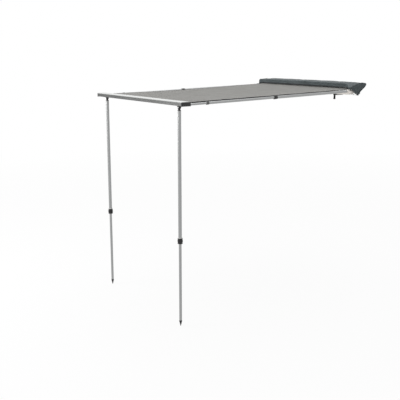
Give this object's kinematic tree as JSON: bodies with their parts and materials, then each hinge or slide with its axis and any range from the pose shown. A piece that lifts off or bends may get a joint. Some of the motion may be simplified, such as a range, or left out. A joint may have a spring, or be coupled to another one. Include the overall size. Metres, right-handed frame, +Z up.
{
  "type": "vehicle side awning",
  "caption": "Side awning for a roof rack: cloth canopy on a backing plate and front rail, with telescoping side arms, telescoping folding legs and a cover laid open on top.",
  "frame": {"origin": "centre of the backing plate's rear face, where the awning meets the rack", "axes": "+X away from the vehicle, +Y along the rail towards the vehicle's front, +Z up"},
  "size_m": [2.13, 1.4126, 1.9767],
  "materials": {
    "extruded_aluminium": "clear anodised, satin",
    "tube_aluminium": "clear anodised, satin",
    "cast_aluminium": "bead-blasted casting",
    "black_plastic": "fine moulded grain",
    "grey_plastic": "fine moulded grain",
    "black_steel": "black powder coat",
    "zinc_steel": "bright zinc",
    "canopy_cloth": "coated ripstop cloth",
    "cover_cloth": "coated heavy cloth, slight sheen",
    "webbing": "hook-and-loop webbing",
    "rope_edge": "plain cord in a cloth sleeve"
  },
  "bodies": {
    "casing": {"backing_plate": "extruded_aluminium", "plate_end_cap_front": "black_plastic", "rack_bracket_front": "black_steel", "rack_bolt_front_upper": "zinc_steel", "rack_nut_front_upper": "zinc_steel", "rack_bolt_front_lower": "zinc_steel", "rack_nut_front_lower": "zinc_steel", "arm_bracket_front": "black_steel", "arm_pin_front": "zinc_steel", "cover_end_panel_front": "cover_cloth", "storage_strap_front": "webbing", "plate_end_cap_rear": "black_plastic", "rack_bracket_rear": "black_steel", "rack_bolt_rear_upper": "zinc_steel", "rack_nut_rear_upper": "zinc_steel", "rack_bolt_rear_lower": "zinc_steel", "rack_nut_rear_lower": "zinc_steel", "arm_bracket_rear": "black_steel", "arm_pin_rear": "zinc_steel", "cover_end_panel_rear": "cover_cloth", "storage_strap_rear": "webbing", "canopy": "canopy_cloth", "canopy_rope_plate": "rope_edge", "cover_bag": "cover_cloth", "cover_rope": "rope_edge"},
    "front_rail": {"front_rail": "extruded_aluminium", "canopy_rope_rail": "rope_edge", "rail_end_cap_front": "black_plastic", "leg_bracket_front": "black_steel", "leg_pin_front": "zinc_steel", "rail_end_cap_rear": "black_plastic", "leg_bracket_rear": "black_steel", "leg_pin_rear": "zinc_steel"},
    "arm_outer_front": {"arm_root_front": "cast_aluminium", "arm_outer_tube_front": "tube_aluminium"},
    "arm_outer_lock_front": {"arm_outer_lock_front": "black_plastic"},
    "arm_middle_front": {"arm_middle_tube_front": "tube_aluminium"},
    "arm_inner_lock_front": {"arm_inner_lock_front": "grey_plastic"},
    "arm_inner_front": {"arm_inner_tube_front": "tube_aluminium", "arm_tip_front": "black_plastic"},
    "leg_upper_front": {"leg_knuckle_front": "black_plastic", "leg_upper_tube_front": "tube_aluminium"},
    "leg_lock_front": {"leg_lock_front": "black_plastic"},
    "leg_lower_front": {"leg_lower_tube_front": "tube_aluminium", "leg_expander_front": "black_plastic", "leg_foot_front": "black_plastic"},
    "arm_outer_rear": {"arm_root_rear": "cast_aluminium", "arm_outer_tube_rear": "tube_aluminium"},
    "arm_outer_lock_rear": {"arm_outer_lock_rear": "black_plastic"},
    "arm_middle_rear": {"arm_middle_tube_rear": "tube_aluminium"},
    "arm_inner_lock_rear": {"arm_inner_lock_rear": "grey_plastic"},
    "arm_inner_rear": {"arm_inner_tube_rear": "tube_aluminium", "arm_tip_rear": "black_plastic"},
    "leg_upper_rear": {"leg_knuckle_rear": "black_plastic", "leg_upper_tube_rear": "tube_aluminium"},
    "leg_lock_rear": {"leg_lock_rear": "black_plastic"},
    "leg_lower_rear": {"leg_lower_tube_rear": "tube_aluminium", "leg_expander_rear": "black_plastic", "leg_foot_rear": "black_plastic"}
  },
  "joints": [
    {"name": "canopy_retract", "type": "slide", "parent": "casing", "child": "front_rail", "axis": [-0.9998, 0, 0.0199], "range_m": [0, 0.8], "deforming": ["canopy"]},
    {"name": "arm_swing_front", "type": "hinge", "parent": "casing", "child": "arm_outer_front", "pos_m": [0.034, 0.676, -0.008], "axis": [-0.0199, 0.034, -0.9992], "range_deg": [0, 90]},
    {"name": "arm_outer_lock_twist_front", "type": "hinge", "parent": "arm_outer_front", "child": "arm_outer_lock_front", "pos_m": [0.034, 0.676, -0.008], "axis": [0.9998, 0, -0.0199], "range_deg": [0, 60]},
    {"name": "arm_middle_slide_front", "type": "slide", "parent": "arm_outer_front", "child": "arm_middle_front", "axis": [-0.9998, 0, 0.0199], "range_m": [0, 0.648]},
    {"name": "arm_inner_lock_twist_front", "type": "hinge", "parent": "arm_middle_front", "child": "arm_inner_lock_front", "pos_m": [0.034, 0.676, -0.008], "axis": [0.9998, 0, -0.0199], "range_deg": [0, 60]},
    {"name": "arm_inner_slide_front", "type": "slide", "parent": "arm_middle_front", "child": "arm_inner_front", "axis": [-0.9998, 0, 0.0199], "range_m": [0, 0.152]},
    {"name": "leg_fold_front", "type": "hinge", "parent": "front_rail", "child": "leg_upper_front", "pos_m": [2.003, 0.63, -0.072], "axis": [-1, 0, 0], "range_deg": [0, 90]},
    {"name": "leg_lock_twist_front", "type": "hinge", "parent": "leg_upper_front", "child": "leg_lock_front", "pos_m": [2.003, 0.63, -0.072], "axis": [0, 0, 1], "range_deg": [0, 60]},
    {"name": "leg_slide_front", "type": "slide", "parent": "leg_upper_front", "child": "leg_lower_front", "axis": [0, 0, 1], "range_m": [-0.2, 0.66]},
    {"name": "arm_swing_rear", "type": "hinge", "parent": "casing", "child": "arm_outer_rear", "pos_m": [0.07, -0.676, -0.00872], "axis": [0.0199, 0.034, 0.9992], "range_deg": [0, 90]},
    {"name": "arm_outer_lock_twist_rear", "type": "hinge", "parent": "arm_outer_rear", "child": "arm_outer_lock_rear", "pos_m": [0.07, -0.676, -0.00872], "axis": [0.9998, 0, -0.0199], "range_deg": [0, 60]},
    {"name": "arm_middle_slide_rear", "type": "slide", "parent": "arm_outer_rear", "child": "arm_middle_rear", "axis": [-0.9998, 0, 0.0199], "range_m": [0, 0.648]},
    {"name": "arm_inner_lock_twist_rear", "type": "hinge", "parent": "arm_middle_rear", "child": "arm_inner_lock_rear", "pos_m": [0.07, -0.676, -0.00872], "axis": [0.9998, 0, -0.0199], "range_deg": [0, 60]},
    {"name": "arm_inner_slide_rear", "type": "slide", "parent": "arm_middle_rear", "child": "arm_inner_rear", "axis": [-0.9998, 0, 0.0199], "range_m": [0, 0.152]},
    {"name": "leg_fold_rear", "type": "hinge", "parent": "front_rail", "child": "leg_upper_rear", "pos_m": [1.965, -0.63, -0.072], "axis": [1, 0, 0], "range_deg": [0, 90]},
    {"name": "leg_lock_twist_rear", "type": "hinge", "parent": "leg_upper_rear", "child": "leg_lock_rear", "pos_m": [1.965, -0.63, -0.072], "axis": [0, 0, 1], "range_deg": [0, 60]},
    {"name": "leg_slide_rear", "type": "slide", "parent": "leg_upper_rear", "child": "leg_lower_rear", "axis": [0, 0, 1], "range_m": [-0.2, 0.66]}
  ],
  "couplings": [
    {"joint": "arm_middle_slide_front", "follows": "canopy_retract", "ratio": 0.81},
    {"joint": "arm_inner_slide_front", "follows": "canopy_retract", "ratio": 0.19},
    {"joint": "arm_middle_slide_rear", "follows": "canopy_retract", "ratio": 0.81},
    {"joint": "arm_inner_slide_rear", "follows": "canopy_retract", "ratio": 0.19}
  ]
}
